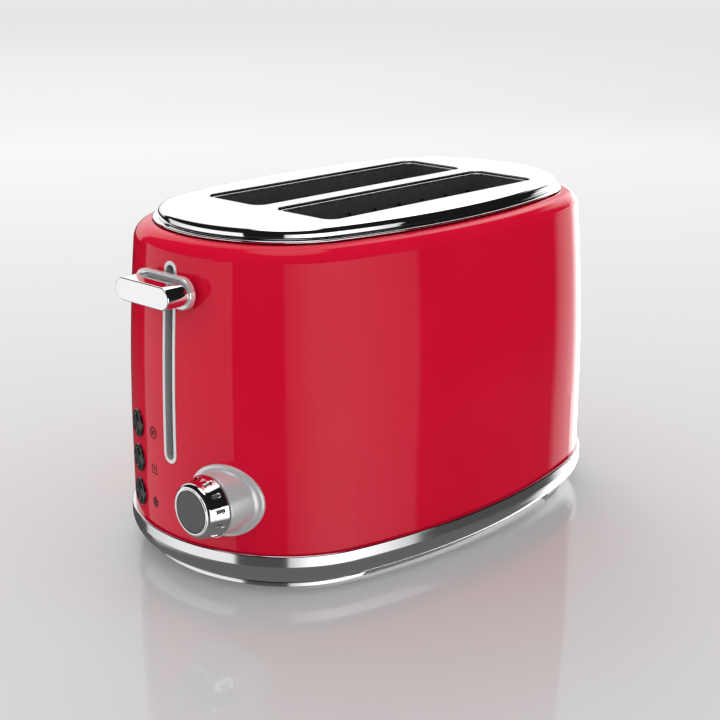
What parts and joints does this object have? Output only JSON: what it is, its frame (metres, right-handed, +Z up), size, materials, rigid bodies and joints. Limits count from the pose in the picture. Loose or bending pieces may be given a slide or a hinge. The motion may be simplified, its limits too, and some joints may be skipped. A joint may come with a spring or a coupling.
{
  "type": "pop up toaster",
  "caption": "Oval pop-up toaster with two long bread slots, a sprung lift lever, a browning knob, push buttons and a slide-out crumb tray.",
  "frame": {"origin": "on the worktop, under the middle of the body", "axes": "+X along the bread slots from the control end to the rear, +Y across the slots, +Z up"},
  "size_m": [0.3219, 0.188, 0.1863],
  "materials": {
    "red_enamel": "glossy red stove enamel",
    "polished_chrome": "mirror polished",
    "satin_steel": "fine brushed",
    "zinc_steel": "galvanised sheet",
    "rod_steel": "drawn bright",
    "guide_wire": "heat-darkened wire",
    "black_coating": "dark heat-proof coating",
    "core_iron": "laminated iron",
    "copper": "enamelled winding",
    "nichrome": "flat resistance ribbon",
    "mica": "pressed mica sheet",
    "silver_plastic": "satin silver lacquer",
    "grey_plastic": "fine matt grey",
    "key_black": "glossy black",
    "black_plastic": "moulded",
    "cream_plastic": "moulded",
    "board_green": "circuit board",
    "rubber": "soft black"
  },
  "bodies": {
    "housing": {"outer_shell": "red_enamel", "top_plate": "polished_chrome", "base_band": "satin_steel", "front_foot": "satin_steel", "rear_foot": "satin_steel", "rubber_pads": "rubber", "base_cover": "black_plastic", "base_screws": "zinc_steel", "deck_screws": "zinc_steel", "chassis_deck": "zinc_steel", "front_end_plate": "zinc_steel", "rear_end_plate": "zinc_steel", "chassis_top": "zinc_steel", "left_slot_liner": "black_coating", "right_slot_liner": "black_coating", "left_reflector": "zinc_steel", "right_reflector": "zinc_steel", "left_mica": "mica", "left_ribbon": "nichrome", "centre_mica": "mica", "centre_ribbon": "nichrome", "right_mica": "mica", "right_ribbon": "nichrome", "guide_rods": "rod_steel", "lift_spring": "rod_steel", "magnet_core": "core_iron", "magnet_coil": "copper", "lever_trim": "silver_plastic", "dial_bezel": "silver_plastic", "dial_control": "black_plastic", "button_collars": "key_black", "button_switches": "black_plastic", "button_board": "board_green", "control_board": "board_green", "board_components": "black_plastic", "inlet_gland": "black_plastic", "terminal_block": "cream_plastic"},
    "lift_carriage": {"carriage": "zinc_steel", "lever_flange": "polished_chrome", "lever_handle": "polished_chrome", "latch_armature": "zinc_steel", "left_rack": "zinc_steel", "right_rack": "zinc_steel"},
    "left_outer_cage": {"left_outer_guide": "guide_wire"},
    "left_inner_cage": {"left_inner_guide": "guide_wire"},
    "right_outer_cage": {"right_outer_guide": "guide_wire"},
    "right_inner_cage": {"right_inner_guide": "guide_wire"},
    "browning_control": {"browning_knob": "polished_chrome", "knob_insert": "grey_plastic", "dial_shaft": "rod_steel"},
    "defrost_key": {"defrost_button": "key_black"},
    "reheat_key": {"reheat_button": "key_black"},
    "cancel_key": {"cancel_button": "key_black"},
    "crumb_drawer": {"crumb_tray": "zinc_steel", "tray_front": "satin_steel"}
  },
  "joints": [
    {"name": "lift_slide", "type": "slide", "parent": "housing", "child": "lift_carriage", "axis": [0.04, 0, 0.9992], "range_m": [-0.085, 0.006], "stiffness_N_per_m": 60, "springref_m": 0.0366, "deforming": ["lift_spring"]},
    {"name": "browning_turn", "type": "hinge", "parent": "housing", "child": "browning_control", "pos_m": [-0.15, -0.034, 0.0494], "axis": [1, 0, 0], "range_deg": [-135, 135]},
    {"name": "tray_slide", "type": "slide", "parent": "housing", "child": "crumb_drawer", "axis": [1, 0, 0], "range_m": [0, 0.215]},
    {"name": "left_outer_close", "type": "slide", "parent": "housing", "child": "left_outer_cage", "axis": [0, 1, 0], "range_m": [-0.0046, 0.0004]},
    {"name": "left_inner_close", "type": "slide", "parent": "housing", "child": "left_inner_cage", "axis": [0, -1, 0], "range_m": [-0.0046, 0.0004]},
    {"name": "right_outer_close", "type": "slide", "parent": "housing", "child": "right_outer_cage", "axis": [0, -1, 0], "range_m": [-0.0046, 0.0004]},
    {"name": "right_inner_close", "type": "slide", "parent": "housing", "child": "right_inner_cage", "axis": [0, 1, 0], "range_m": [-0.0046, 0.0004]},
    {"name": "defrost_press", "type": "slide", "parent": "housing", "child": "defrost_key", "axis": [0.9339, -0.3574, 0], "range_m": [0, 0.0012], "stiffness_N_per_m": 600, "springref_m": -0.0004},
    {"name": "reheat_press", "type": "slide", "parent": "housing", "child": "reheat_key", "axis": [0.9339, -0.3574, 0], "range_m": [0, 0.0012], "stiffness_N_per_m": 600, "springref_m": -0.0004},
    {"name": "cancel_press", "type": "slide", "parent": "housing", "child": "cancel_key", "axis": [0.9339, -0.3574, 0], "range_m": [0, 0.0012], "stiffness_N_per_m": 600, "springref_m": -0.0004}
  ],
  "couplings": [
    {"joint": "left_outer_close", "follows": "lift_slide", "ratio": 0.052941},
    {"joint": "left_inner_close", "follows": "lift_slide", "ratio": 0.052941},
    {"joint": "right_outer_close", "follows": "lift_slide", "ratio": 0.052941},
    {"joint": "right_inner_close", "follows": "lift_slide", "ratio": 0.052941}
  ]
}
